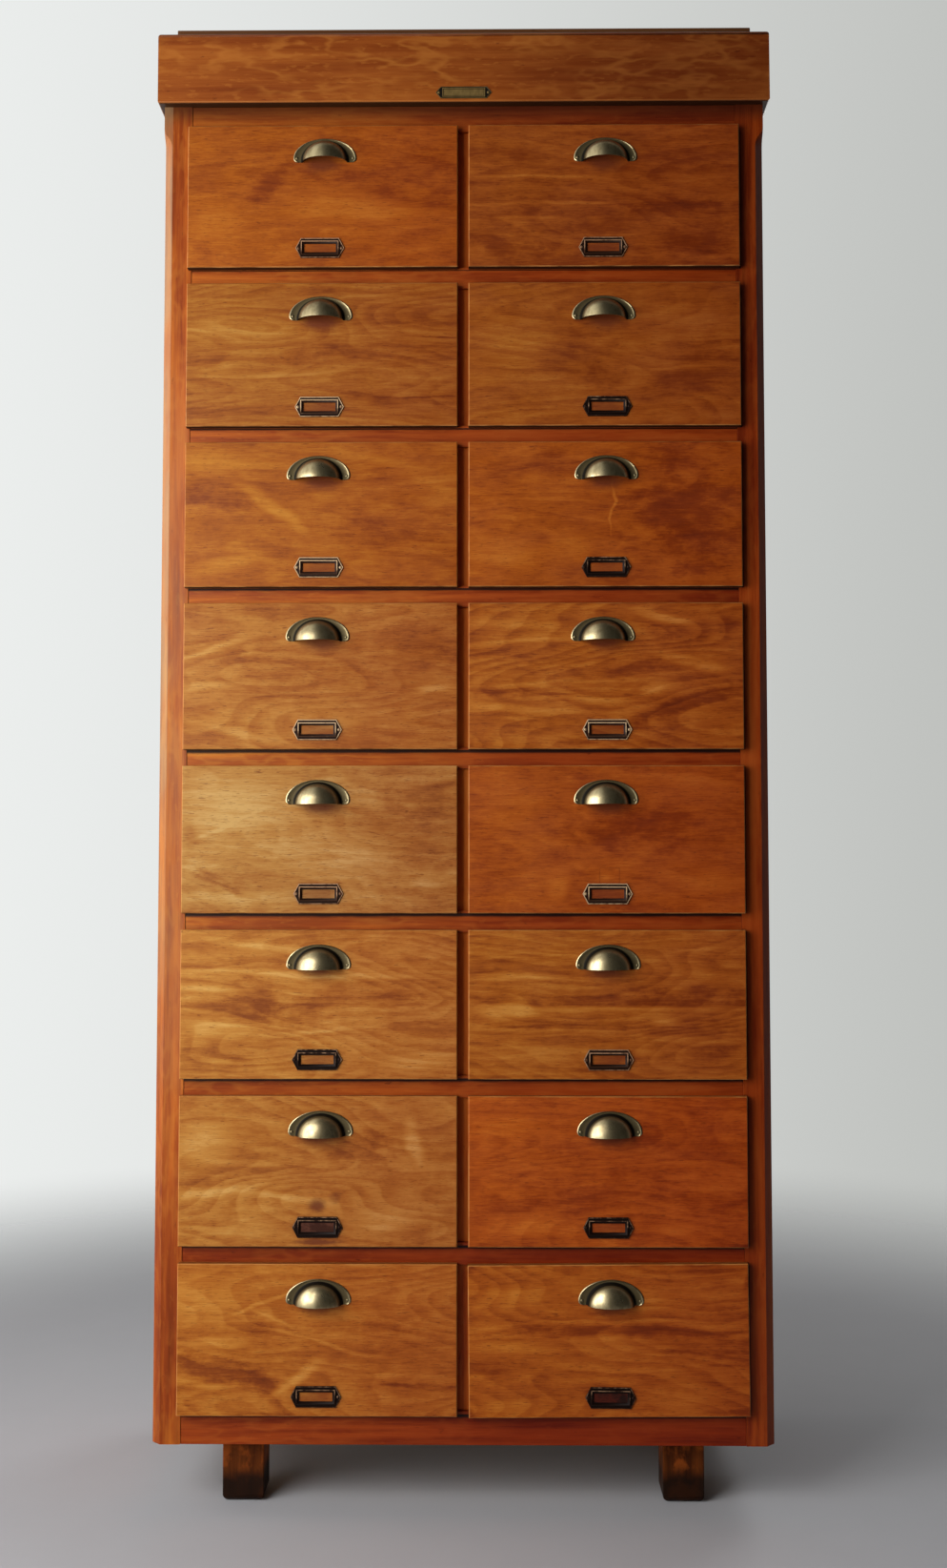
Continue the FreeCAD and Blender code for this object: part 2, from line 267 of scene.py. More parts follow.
def addFloor():
    mesh = bpy.data.meshes.new("floor")
    radius, count = floorLook["radius"], floorLook["corners"]
    around = [2 * math.pi * step / count for step in range(count)]
    mesh.from_pydata([(radius * math.cos(a), radius * math.sin(a), 0) for a in around], [], [range(count)])
    floor = bpy.data.objects.new("floor", mesh)
    scene.collection.objects.link(floor)
    material, shader, place = startMaterial("palefloor", Roughness=0.75)
    low = tuple(part * floorLook["darker"] for part in floorLook["colour"])
    setShader(shader, Base_Color=mix(noise(place, *floorLook["speckle"]), low, floorLook["colour"]))
    fade = ease(vectorCalc("LENGTH", place, output=1), *floorLook["fade"])
    tree = material.node_tree
    clear = addNode(tree, "ShaderNodeBsdfTransparent")
    both = addNode(tree, "ShaderNodeMixShader", {0: fade, 1: shader.outputs[0], 2: clear.outputs[0]})
    tree.links.new(both.outputs[0], tree.nodes["Material Output"].inputs[0])
    mesh.materials.append(material)


addWorld()
for lampName, lampLook in lampLooks.items():
    addLamp(lampName, lampLook)
addFloor()
print("floor, world and lamps placed")


# CAD nodes keep their meshes. Welding and a small bevel soften their corners when they render.
softLook = {"weld": 0.00001, "segments": 2, "leastTurn": 35}  # metres, and degrees


def finishNode(node, material, width):
    node.data.materials.clear()
    node.data.materials.append(material)
    weld = node.modifiers.new("weld", "WELD")
    weld.merge_threshold = softLook["weld"]
    bevel = node.modifiers.new("soft edges", "BEVEL")
    bevel.width = width
    bevel.segments = softLook["segments"]
    bevel.limit_method = "ANGLE"
    bevel.angle_limit = math.radians(softLook["leastTurn"])
    bevel.use_clamp_overlap = True


# Drawer fronts: plywood with rotary-cut faces, varnished a warm brown
veneerLook = {
    "stops": (
        (0.0, (0.12, 0.017, 0.002)),
        (0.28, (0.23, 0.044, 0.004)),
        (0.52, (0.37, 0.094, 0.009)),
        (0.74, (0.47, 0.152, 0.019)),
        (1.0, (0.59, 0.24, 0.045)),
    ),
    "warmth": (1.02, 1.05, 1.08),
    "shadedRightEnd": (-0.16, 0.17),  # where painted shade makes each front darker and redder to the right, from the front's middle
    "rightShadeTint": (0.92, 0.76, 0.78),
    "bandShare": 1.15,
    "streakShare": 0.85,
    "mottleShare": 0.45,
    "fibreShare": 0.45,
    "patchTone": 0.6,
    "darkShare": 0.62,
    "trace": (0.17, 0.029, 0.004),
    "grimeAndShade": (0.13, 0.026, 0.009),
    "arris": (0.5, 0.21, 0.055),
    "plies": ((0.32, 0.1, 0.018), (0.16, 0.038, 0.006)),
    # painted shade for faces that look down
    "undersideShade": (0.012, 0.005, 0.003),
    "plyThickness": 0.0024,
    "fibreDepth": 0.00005,
    "roughness": (0.38, 0.52),
    "specular": 0.16,
    "coat": 0.02,
    "coatRoughness": 0.2,
    "softness": 0.0004,
}
# How each noise is stretched along x, y and z, its detail and its roughness
veneerNoise = {
    "clouds": ((7, 5, 22), 5, 0.62),
    "mottle": ((34, 20, 60), 4, 0.65),
    "rings": ((2.2, 2, 9), 1, 0.4),
    "streaks": ((12, 5, 150), 4, 0.65),
    "bands": ((2.6, 3, 75), 4, 0.62),
    "fibres": ((45, 30, 560), 3, 0.65),
    "drift": ((6, 5, 14), 3),
    "pores": ((90, 60, 1200), 1),
    "ticks": ((60, 40, 420), 2),
    "worn": ((30, 30, 30), 3),
    "gloss": ((12, 12, 30), 3),
}
# The figure of each front: its grain is the strength of clouds, streaks and bands, and its rings
# have a number and a strength. A patch is (across, up, half width, half height, strength, turn), in
# mm from the front's middle, percent and degrees. One without a turn lies straight.
frontLooks = {
    ("left", 1): {
        "tone": -0.05, "grain": (0.4, 0.22, 0.12), "rings": (3, 0.06), "tint": (1.05, 1.0, 0.7),
        "dark": [(-80, 7, 38, 16, 45, 50), (117, 39, 110, 45, 25), (-185, -80, 16, 10, 30)],
        "pale": [(27, -20, 80, 26, 30), (-165, -45, 60, 32, 25), (110, -30, 70, 16, 25, -6)],
    },
    ("right", 1): {
        "tone": -0.1, "grain": (0.45, 0.35, 0.3), "rings": (4, 0.1), "tint": (0.9, 0.8, 0.8),
        "dark": [(117, -15, 90, 8, 40, 4), (150, -68, 60, 32, 45), (-138, -83, 60, 16, 30)],
        "pale": [(-105, 28, 110, 3.5, 36), (-80, -10, 130, 3.5, 33, 1), (-90, -32, 90, 3.5, 23, -1),
            (117, -48, 55, 16, 30), (140, 30, 60, 6, 20, 8)],
    },
    ("left", 2): {
        "tone": 0.07, "grain": (0.5, 0.55, 0.5), "rings": (6, 0.13), "tint": (0.8, 0.85, 0.75),
        "dark": [(12, 35, 20, 60, 30), (170, 28, 42, 2, 70), (160, -65, 60, 2, 60, 2),
            (90, -5, 90, 8, 30), (-120, -8, 90, 4, 30, 2)],
        "pale": [(-120, 40, 110, 34, 35), (-150, 38, 100, 3.5, 33, -2), (-70, -30, 160, 4.5, 29, 1),
            (-160, -20, 70, 4.5, 26, 2), (40, 88, 90, 4.5, 23), (60, 30, 120, 3.5, 20, -2)],
    },
    ("right", 2): {
        "tone": 0.0, "grain": (0.5, 0.35, 0.3), "rings": (5, 0.1), "tint": (0.85, 0.8, 0.75),
        "dark": [(-20, 0, 70, 60, 20), (150, -30, 70, 50, 20), (-120, 60, 60, 12, 20)],
        "pale": [(-130, 22, 55, 40, 25), (143, 20, 65, 3, 29, 2), (95, -22, 90, 3, 26, -2),
            (110, 60, 50, 14, 20), (-140, -20, 50, 3.5, 20)],
    },
    ("left", 3): {
        "tone": 0.03, "grain": (0.55, 0.35, 0.2), "rings": (3, 0.08), "tint": (0.95, 1.0, 0.65),
        "dark": [(-150, 22, 62, 20, 40, -10), (117, -15, 110, 34, 30, 8), (-60, -60, 70, 16, 25, -20)],
        "pale": [(-150, 82, 90, 16, 30), (-66, 5, 62, 11, 50, -36), (160, 48, 50, 14, 30, -20),
            (-138, -70, 60, 16, 35, 10), (60, 85, 90, 8, 25, -10)],
    },
    ("right", 3): {
        "tone": -0.04, "grain": (0.5, 0.25, 0.12), "rings": (3, 0.08), "tint": (1.0, 0.85, 0.6),
        "dark": [(127, 0, 95, 78, 50), (-60, 70, 70, 20, 25, -20), (100, -50, 60, 30, 20)],
        "pale": [(7, 12, 2.5, 42, 50, 2), (-160, -57, 70, 22, 35), (-45, -50, 30, 26, 20)],
    },
    ("left", 4): {
        "tone": 0.09, "grain": (0.6, 0.4, 0.35), "rings": (4, 0.14), "tint": (0.9, 1.05, 1.25),
        "dark": [(-138, 33, 42, 20, 30, -15), (-42, 15, 110, 28, 30), (138, 44, 70, 34, 25)],
        "pale": [(-165, 38, 70, 6, 60, 14), (-170, -15, 72, 8, 55, 4), (-120, -80, 90, 10, 50, -12),
            (27, -73, 70, 8, 40, 10), (172, -17, 32, 6, 60), (10, 28, 120, 4.5, 23, -3)],
    },
    ("right", 4): {
        "tone": 0.0, "grain": (0.6, 0.5, 0.4), "rings": (5, 0.16), "tint": (0.95, 0.9, 0.8),
        "dark": [(125, -42, 95, 12, 60, 20), (20, 10, 110, 12, 40, 8), (-160, -22, 62, 5, 50),
            (138, 64, 70, 14, 35), (-60, -32, 110, 4, 40, -2)],
        "pale": [(-120, 52, 95, 6, 45, 4), (-95, -12, 112, 4.5, 36, 3), (-120, -50, 112, 8, 50, -4),
            (-5, -41, 62, 8, 40, -8), (95, 86, 50, 9, 55, -15), (127, 20, 62, 8, 50, -15),
            (78, -17, 28, 9, 60, 12), (-130, 80, 70, 10, 25)],
    },
    ("left", 5): {
        "tone": 0.15, "grain": (0.8, 0.5, 0.35), "rings": (5, 0.07), "tint": (0.9, 1.25, 2.0),
        "dark": [(-165, -50, 48, 8, 55, -26), (-150, -62, 70, 5, 50, -16), (143, 65, 75, 28, 35),
            (-194, 8, 12, 22, 50), (150, -40, 60, 30, 20), (10, 100, 10, 4, 50)],
        "pale": [(-120, 40, 110, 64, 45), (15, -25, 90, 38, 40), (-140, 20, 90, 3.5, 33, 20),
            (-100, -82, 100, 12, 35), (60, -85, 70, 10, 30)],
    },
    ("right", 5): {
        "tone": -0.05, "grain": (0.42, 0.25, 0.12), "rings": (3, 0.07), "tint": (1.0, 0.8, 0.65),
        "dark": [(-16, 14, 62, 34, 35), (75, 20, 44, 40, 30), (0, -2, 16, 12, 30)],
        "pale": [(-70, -68, 16, 28, 35, -20), (-105, -57, 26, 14, 25), (143, -62, 60, 22, 30),
            (138, 78, 60, 14, 25, -8), (-150, 40, 50, 40, 15), (4, -52, 16, 12, 20)],
        "traces": [(4, -54, 14.5, 12, 50)],
    },
    ("left", 6): {
        "tone": 0.07, "grain": (0.5, 0.5, 0.45), "rings": (6, 0.13), "tint": (1.05, 1.35, 1.75),
        "dark": [(-105, 12, 42, 28, 40), (64, 6, 135, 13, 35), (-150, -72, 52, 5, 35, -6),
            (-20, -20, 90, 8, 30)],
        "pale": [(-42, 44, 175, 5, 50, -2), (-150, -36, 62, 14, 50), (0, -38, 90, 5, 45, 3),
            (143, -80, 62, 13, 40), (-60, 80, 120, 6, 40, -8), (-160, 20, 50, 6, 40)],
    },
    ("right", 6): {
        "tone": 0.0, "grain": (0.5, 0.6, 0.5), "rings": (6, 0.12), "tint": (0.95, 0.95, 0.9),
        "dark": [(0, 7, 200, 8, 55), (117, 20, 90, 6, 50, 1), (117, -45, 70, 30, 25),
            (-40, -32, 120, 4, 35)],
        "pale": [(-16, -6, 200, 4.5, 36), (-133, 38, 62, 6, 45, 2), (-152, -8, 36, 12, 50),
            (80, -24, 26, 10, 40), (-95, -74, 92, 10, 35), (110, -50, 60, 6, 30)],
    },
    ("left", 7): {
        "tone": 0.08, "grain": (0.6, 0.35, 0.3), "rings": (6, 0.14), "tint": (1.0, 1.25, 1.7),
        "dark": [(53, 33, 52, 28, 50), (-175, -20, 42, 7, 40), (143, -84, 36, 18, 40),
            (-60, 0, 80, 6, 30, 4)],
        "pale": [(-172, 38, 42, 34, 40), (-150, -33, 72, 8, 60, 4), (-42, -42, 82, 6, 50, -5),
            (143, 38, 13, 40, 55, 22), (95, -68, 62, 24, 40), (-100, 10, 80, 4.5, 26, -6)],
        "red": [(0, -49, 13, 11, 85), (-2, -101, 38, 4, 80), (26, -38, 8, 8, 40)],
    },
    ("right", 7): {
        "tone": -0.04, "grain": (0.45, 0.25, 0.2), "rings": (5, 0.09), "tint": (1.1, 0.8, 0.6),
        "dark": [(0, -40, 150, 34, 25), (117, 50, 80, 24, 20), (196, -104, 24, 4, 90),
            (-100, 30, 60, 2, 30, 2)],
        "pale": [(-115, -78, 62, 16, 30), (100, -84, 32, 10, 30), (-150, 70, 50, 10, 20)],
    },
    ("left", 8): {
        "tone": 0.03, "grain": (0.55, 0.45, 0.25), "rings": (5, 0.12), "tint": (1.05, 1.15, 1.15),
        "dark": [(-85, 10, 26, 20, 50), (-150, -40, 72, 16, 60, -10), (-75, -66, 46, 13, 60, -42),
            (143, -66, 62, 4, 60), (-60, -103, 60, 3, 60), (70, 16, 90, 10, 30)],
        "pale": [(-165, 55, 62, 36, 35), (-80, 55, 62, 3.5, 39, 22), (-138, -5, 62, 9, 40, 4),
            (-34, -58, 52, 9, 60, 36), (10, -3, 92, 3.5, 36, -12), (-170, -62, 42, 4.5, 39, -6),
            (120, -50, 80, 4.5, 26), (-60, 30, 40, 3.5, 33, -30)],
    },
    ("right", 8): {
        "tone": 0.0, "grain": (0.6, 0.5, 0.35), "rings": (5, 0.14), "tint": (1.0, 0.85, 0.6),
        "dark": [(10, 15, 170, 10, 50), (143, -15, 82, 6, 45), (150, -34, 80, 4, 40),
            (195, 82, 7, 14, 95), (196, -100, 20, 7, 80), (-198, -102, 10, 11, 80),
            (-198, 104, 12, 6, 70)],
        "pale": [(-133, 60, 62, 15, 35), (60, 55, 42, 20, 35), (15, 27, 152, 3.5, 33, 1),
            (0, -4, 42, 20, 30), (143, 22, 62, 4.5, 29), (110, -78, 62, 18, 45), (-140, -10, 60, 10, 25),
            (-150, -90, 40, 8, 25)],
    },
}


# The strength of all the patches that reach a place
def patchAmount(place, patches, wobble):
    total = 0.0
    for across, up, halfWidth, halfHeight, strength, *turn in patches:
        inputs = {
            "Vector": place,
            "Location": (across / 1000, 0, up / 1000),
            "Rotation": (0, math.radians(-sum(turn)), 0),
            "Scale": (halfWidth / 1000, 10, halfHeight / 1000),
        }
        near = addAfter("ShaderNodeMapping", inputs, vector_type="TEXTURE").outputs[0]
        distance = plus(vectorCalc("LENGTH", near, output=1), wobble)
        total = plus(total, ease(distance, 1.3, 0.2, 0.0, strength / 100))
    return total


# The noises that every part of a front's look shares. The seed makes each front differ.
def veneerGrain(local, seed):
    here = vectorCalc("ADD", local, (seed, seed * 0.37, seed * 0.61))
    drift = driftOf(here, *veneerNoise["drift"])
    wavy = vectorCalc("ADD", here, scaled(drift, (0.03, 0, 0.022)))
    names = ("clouds", "mottle", "rings", "streaks", "bands")
    grain = {name: noise(wavy, *veneerNoise[name]) for name in names}
    grain["fibres"] = noise(here, *veneerNoise["fibres"])
    grain["here"] = here
    grain["wavy"] = wavy
    grain["nearly"] = vectorCalc("ADD", local, scaled(drift, (0.05, 0, 0.03)))
    grain["wobble"] = plus(centred(grain["clouds"], 2.0, 0.0), centred(grain["mottle"], 1.4, 0.0))
    return grain


def veneerTone(look, grain):
    count, ringShare = look["rings"]
    rings = calc("FRACT", times(grain["rings"], count * 4.0))
    rings = times(ease(rings, 0.0, 0.8), ease(rings, 1.0, 0.88))
    clouds, streaks, bands = look["grain"]
    tone = centred(grain["clouds"], clouds, 0.5 + look["tone"])
    tone = centred(grain["bands"], bands * veneerLook["bandShare"], tone)
    tone = centred(rings, ringShare, tone)
    tone = centred(grain["streaks"], streaks * veneerLook["streakShare"], tone)
    tone = centred(grain["mottle"], veneerLook["mottleShare"], tone)
    tone = centred(grain["fibres"], veneerLook["fibreShare"], tone)
    pale = patchAmount(grain["nearly"], look["pale"], grain["wobble"])
    dark = patchAmount(grain["nearly"], look["dark"], grain["wobble"])
    figure = minus(pale, times(dark, veneerLook["darkShare"]))
    return calc("MULTIPLY_ADD", figure, veneerLook["patchTone"], tone)


# A dark worn outline on a front, given like a patch
def addTrace(colour, local, mottle, across, up, halfWidth, halfHeight, strength):
    x, y, z = split(vectorCalc("SUBTRACT", local, (across / 1000, 0, up / 1000)))
    x = calc("DIVIDE", calc("ABSOLUTE", x), halfWidth / 1000)
    z = calc("DIVIDE", calc("ABSOLUTE", z), halfHeight / 1000)
    edge = calc("ABSOLUTE", minus(calc("MAXIMUM", x, z), 1.0))
    amount = times(ease(edge, 0.11, 0.02), ease(mottle, 0.3, 0.55, 0.3, 1.0), strength / 100)
    return mix(amount, colour, veneerLook["trace"])


# The edges show the plies, their undersides have painted shade, and their corners are worn light
def finishEdges(colour, shader, local, here):
    x, y, z = split(surfaceNormal(shader))
    facing = calc("ABSOLUTE", y)
    ply = veneerLook["plyThickness"]
    layer = ease(calc("PINGPONG", split(local)[1], ply), 0.4 * ply, 0.6 * ply)
    colour = mix(ease(facing, 0.35, 0.15), colour, mix(layer, *veneerLook["plies"]))
    # painted shade on the undersides
    colour = mix(ease(z, -0.5, -0.8, 0.0, 0.93), colour, veneerLook["undersideShade"])
    worn = ease(noise(here, *veneerNoise["worn"]), 0.38, 0.62, 0.25, 0.85)
    arris = times(ease(facing, 0.98, 0.86), ease(facing, 0.2, 0.5))
    return mix(times(arris, worn), colour, veneerLook["arris"])


def frontMaterial(side, row):
    look = frontLooks[(side, row)]
    low, high = [Vector(corner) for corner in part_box(f"{side}_front_{row}")]
    middle = (low + high) / 2
    material, shader, place = startMaterial(f"front veneer {side} {row}")
    local = vectorCalc("SUBTRACT", place, middle)
    grain = veneerGrain(local, row * 1.7 + (11.3 if side == "right" else 0.0))
    colour = scaled(ramp(veneerTone(look, grain), veneerLook["stops"]), look["tint"])
    # painted shade: each front turns darker and redder towards its right
    shadeToRight = ease(split(local)[0], *veneerLook["shadedRightEnd"])
    colour = mix(shadeToRight, colour, scaled(colour, veneerLook["rightShadeTint"]))
    colour = scaled(colour, veneerLook["warmth"])
    if "red" in look:
        colour = mix(patchAmount(local, look["red"], grain["wobble"]), colour, veneerLook["grimeAndShade"])
    # hand grime and painted shadow under the pull, and grime round the label frame
    bottom, top = [1000 * (corner[2] - middle.z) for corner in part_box(f"{side}_fittings_{row}")]
    touchedAndShaded = ((0, top - 33, 36, 15, 70), (2, top - 44, 30, 13, 35), (0, bottom + 14, 40, 18, 50))
    grimeAndShade = patchAmount(local, touchedAndShaded, times(grain["wobble"], 0.3))
    colour = mix(calc("MINIMUM", grimeAndShade, 0.8), colour, veneerLook["grimeAndShade"])
    pores = ease(noise(grain["here"], *veneerNoise["pores"]), 0.63, 0.71, 0.0, 0.55)
    ticks = ease(noise(grain["wavy"], *veneerNoise["ticks"]), 0.68, 0.74, 0.0, 0.6)
    colour = mix(calc("MAXIMUM", pores, ticks), colour, veneerLook["stops"][0][1])
    for trace in look.get("traces", []):
        colour = addTrace(colour, local, grain["mottle"], *trace)
    gloss = noise(grain["here"], *veneerNoise["gloss"])
    setShader(
        shader,
        Base_Color=finishEdges(colour, shader, local, grain["here"]),
        Roughness=ease(gloss, 0.3, 0.7, *veneerLook["roughness"]),
        Specular_IOR_Level=veneerLook["specular"],
        Coat_Weight=veneerLook["coat"],
        Coat_Roughness=veneerLook["coatRoughness"],
    )
    addBump(shader, plus(grain["fibres"], grain["streaks"]), veneerLook["fibreDepth"])
    return material


# Solid wood: streaks that run along the grain, with pale ray flecks where the board shows them
woodLooks = {
    "frame": {
        "stops": ((0.0, (0.1, 0.012, 0.001)), (0.35, (0.24, 0.034, 0.003)),
            (0.6, (0.4, 0.078, 0.006)), (1.0, (0.52, 0.15, 0.018))),
        "streak": 0.9, "flecks": 0.25, "rough": 0.44, "coat": 0.02, "specular": 0.15,
    },
    # the muntin's wood is a lighter copy of the frame's: painted light where the fronts' shadow falls on it
    "muntin": {
        "stops": ((0.0, (0.22, 0.03, 0.003)), (0.35, (0.48, 0.08, 0.007)),
            (0.6, (0.68, 0.16, 0.014)), (1.0, (0.78, 0.26, 0.035))),
        "streak": 0.9, "flecks": 0.2, "rough": 0.44, "coat": 0.02, "specular": 0.12,
    },
    "crown": {
        "stops": ((0.0, (0.12, 0.018, 0.002)), (0.35, (0.22, 0.042, 0.004)),
            (0.6, (0.32, 0.078, 0.009)), (1.0, (0.47, 0.155, 0.024))),
        "streak": 0.7, "flecks": 0.5, "rough": 0.42, "coat": 0.04, "specular": 0.2,
    },
    "panel": {
        "stops": ((0.0, (0.13, 0.018, 0.002)), (0.35, (0.25, 0.042, 0.004)),
            (0.6, (0.38, 0.08, 0.007)), (1.0, (0.48, 0.135, 0.016))),
        "streak": 0.8, "flecks": 0.2, "rough": 0.44, "coat": 0.03, "specular": 0.15,
    },
    "top": {
        "stops": ((0.0, (0.05, 0.016, 0.005)), (0.5, (0.13, 0.045, 0.012)), (1.0, (0.22, 0.085, 0.025))),
        "streak": 0.6, "flecks": 0.0, "rough": 0.55, "coat": 0.0, "specular": 0.22,
    },
    "foot": {
        "stops": ((0.0, (0.022, 0.005, 0.001)), (0.4, (0.065, 0.014, 0.002)),
            (0.75, (0.16, 0.038, 0.005)), (1.0, (0.25, 0.08, 0.014))),
        "streak": 1.0, "flecks": 0.0, "rough": 0.55, "coat": 0.0, "specular": 0.08,
    },
    "inner": {
        "stops": ((0.0, (0.22, 0.12, 0.05)), (0.4, (0.38, 0.22, 0.1)),
            (0.7, (0.48, 0.3, 0.15)), (1.0, (0.56, 0.38, 0.21))),
        "streak": 0.7, "flecks": 0.0, "rough": 0.7, "coat": 0.0, "specular": 0.22,
    },
    "box": {
        "stops": ((0.0, (0.27, 0.13, 0.045)), (0.4, (0.46, 0.255, 0.092)),
            (0.7, (0.56, 0.335, 0.13)), (1.0, (0.64, 0.415, 0.185))),
        "streak": 0.7, "flecks": 0.0, "rough": 0.65, "coat": 0.0, "specular": 0.18,
    },
    "back": {
        "stops": ((0.0, (0.21, 0.09, 0.03)), (0.4, (0.37, 0.18, 0.062)),
            (0.7, (0.47, 0.25, 0.095)), (1.0, (0.56, 0.325, 0.14))),
        "streak": 0.8, "flecks": 0.0, "rough": 0.75, "coat": 0.0, "specular": 0.18,
    },
}
# The grain runs along the first coordinate here
woodNoise = {
    "drift": ((4, 14, 14), 2),
    "broad": ((1.8, 16, 16), 2),
    "streaks": ((5, 110, 110), 4, 0.6),
    "fibres": ((22, 700, 700), 2),
    "nicks": ((50, 190, 190), 3, 0.6),
    "flecks": ((16, 50, 50), 2),
    "fleckPlaces": ((9, 20, 20), 2),
    "dashes": ((55, 190, 190), 2),
}
rearPostDepth = 0.045  # metres
boxThickness = 0.012


# Turns the coordinates so that the grain of the piece runs along the first one. In the framed
# sides it runs up the rear posts and from front to back along the rails. The side boards of the
# crown, which meet the front one in a mitre, and those of the drawer boxes run back too.
def alongGrain(place, grain):
    x, y, z = split(place)
    if grain == "x":
        return place
    if grain == "y":
        return join(y, x, z)
    if grain == "z":
        return join(z, y, x)
    if grain == "sides":
        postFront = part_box("side_frames")[1][1] - rearPostDepth
        return choose(calc("GREATER_THAN", y, postFront), join(y, x, z), join(z, y, x))
    across = calc("ABSOLUTE", x)
    if grain == "crown":
        low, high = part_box("crown")
        onSide = calc("GREATER_THAN", minus(y, low[1]), minus(high[0], across))
    else:
        low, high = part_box("right_box_1")
        fromMiddle = calc("ABSOLUTE", minus(across, (low[0] + high[0]) / 2))
        onSide = calc("GREATER_THAN", fromMiddle, (high[0] - low[0]) / 2 - boxThickness)
    return choose(onSide, place, join(y, x, z))


def woodColour(grained, look):
    wavy = vectorCalc("ADD", grained, scaled(driftOf(grained, *woodNoise["drift"]), (0.02, 0.008, 0.008)))
    streaks = noise(wavy, *woodNoise["streaks"])
    fibres = noise(grained, *woodNoise["fibres"])
    tone = centred(noise(wavy, *woodNoise["broad"]), 0.9, 0.5)
    tone = centred(streaks, look["streak"], tone)
    tone = centred(fibres, 0.25, tone)
    nicks = ease(noise(wavy, *woodNoise["nicks"]), 0.66, 0.74, 0.0, 0.6)
    colour = mix(nicks, ramp(tone, look["stops"]), look["stops"][0][1])
    if look["flecks"]:
        lines = calc("ABSOLUTE", minus(noise(wavy, *woodNoise["flecks"]), 0.5))
        shown = ease(noise(grained, *woodNoise["fleckPlaces"]), 0.36, 0.62)
        dashes = ease(noise(grained, *woodNoise["dashes"]), 0.58, 0.7, 0.0, 0.6)
        flecks = calc("MAXIMUM", times(ease(lines, 0.11, 0.0), shown), dashes)
        colour = mix(times(flecks, look["flecks"]), colour, look["stops"][-1][1])
    return colour, plus(streaks, fibres)


def woodMaterial(name, kind, grain):
    look = woodLooks[kind]
    material, shader, place = startMaterial(name)
    colour, relief = woodColour(alongGrain(place, grain), look)
    # painted light and shade on the frame and muntins
    if kind in ("frame", "muntin"):
        colour = paintFrameLight(place, colour, grain)
    # painted shadow and grime under and beside the fronts
    if kind == "frame":
        colour = addShadowAndGrime(place, colour, grain)
    # painted highlight on the left post's chamfer
    if name.startswith("front posts"):
        colour = paintPostHighlight(place, colour)
    if kind == "foot":
        colour = scuffFoot(place, colour)
    if kind == "crown":
        colour = ageAndShadeCrown(place, colour, look["stops"], surfaceNormal(shader))
    setShader(
        shader,
        Base_Color=colour,
        Roughness=calc("MULTIPLY_ADD", minus(relief, 1.0), 0.25, look["rough"]),
        Specular_IOR_Level=look["specular"],
        Coat_Weight=look["coat"],
        Coat_Roughness=0.18,
    )
    addBump(shader, relief, 0.00008)
    return material


# Painted light and shade on the frame: lightest on the left, where the window's light falls, most of all at
# half height, darker to the right and on the two lowest rails
framePaintedLight = {
    "acrossTheFront": (-0.3, 0.16, 1.12, 0.75),
    "middle": 1.05,
    "middleReach": (0.42, 0.12),
    "middleSide": (0.1, -0.1, 0.0, 0.16),
    "lowRails": (0.42, 0.26, 1.0, 0.74),  # heights above the lowest fronts
    "yellow": 2.2,  # how much faster green and blue change than red
}


def paintFrameLight(place, colour, grain):
    x, y, z = split(place)
    level = ease(x, *framePaintedLight["acrossTheFront"])
    fromMiddle = calc("ABSOLUTE", minus(z, framePaintedLight["middle"]))
    litMiddle = times(ease(fromMiddle, *framePaintedLight["middleReach"]), ease(x, *framePaintedLight["middleSide"]))
    level = plus(level, litMiddle)
    if grain == "x":
        above = minus(z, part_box("left_front_8")[0][2])
        level = times(level, ease(above, *framePaintedLight["lowRails"]))
    yellow = calc("POWER", level, framePaintedLight["yellow"])
    return scaled(colour, join(level, yellow, yellow))


# Painted shadow, with some grime, on the frame under each drawer front, to the right of it and under the
# crown, in metres. Seen from the camera's height the high fronts hide most of it.
shadowGrimeLook = {
    "underHigh": 0.002,
    "underLow": 0.007,
    "heights": (1.9, 0.9),
    "beside": 0.0042,
    "underCrown": (0.045, 0.0, 0.0, 0.42),
    "strength": 0.96,
    "colour": (0.008, 0.003, 0.002),
}


def addShadowAndGrime(place, colour, grain):
    x, y, z = split(place)
    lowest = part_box("left_front_8")[0][2]
    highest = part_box("left_front_1")[1][2]
    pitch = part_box("left_front_7")[0][2] - lowest
    under = calc("MODULO", minus(lowest + 12 * pitch, z), pitch)
    uneven = centred(noise(place, (30, 30, 30), 3), 0.5, 1.0)
    if grain == "x":
        reach = ease(z, *shadowGrimeLook["heights"], shadowGrimeLook["underHigh"], shadowGrimeLook["underLow"])
        share = calc("DIVIDE", under, times(uneven, reach))
        amount = calc("SUBTRACT", 1.0, share, clamp=True)
    else:
        amount = 0.0
        for side in sides:
            beyond = minus(x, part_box(f"{side}_front_1")[1][0])
            near = calc("SUBTRACT", 1.0, calc("DIVIDE", beyond, shadowGrimeLook["beside"]), clamp=True)
            amount = calc("MAXIMUM", amount, times(near, calc("GREATER_THAN", beyond, -0.004)))
        amount = times(amount, ease(under, 0.02, 0.03), uneven, calc("GREATER_THAN", z, lowest))
    amount = times(amount, calc("LESS_THAN", z, highest))
    beneath = minus(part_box("crown")[0][2], z)
    amount = calc("MAXIMUM", amount, ease(beneath, *shadowGrimeLook["underCrown"]))
    inFront = calc("LESS_THAN", y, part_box("front_rails")[0][1] + 0.012)
    amount = times(ease(amount, 0.0, 0.6), inFront, shadowGrimeLook["strength"])
    return mix(amount, colour, shadowGrimeLook["colour"])


# Painted highlight on the chamfer of the left post, where the window's light falls on it, and a paler sheen
# on the face beside it only in the middle of its height
sheenLook = {
    "width": 0.0135,
    "heights": (0.55, 1.2),
    "colour": (0.4, 0.27, 0.14),
    "strength": 0.52,
    "middle": 1.1,
    "middleReach": (0.75, 0.3),
    "face": (0.045, 0.035),
    "faceStrength": 0.16,
}


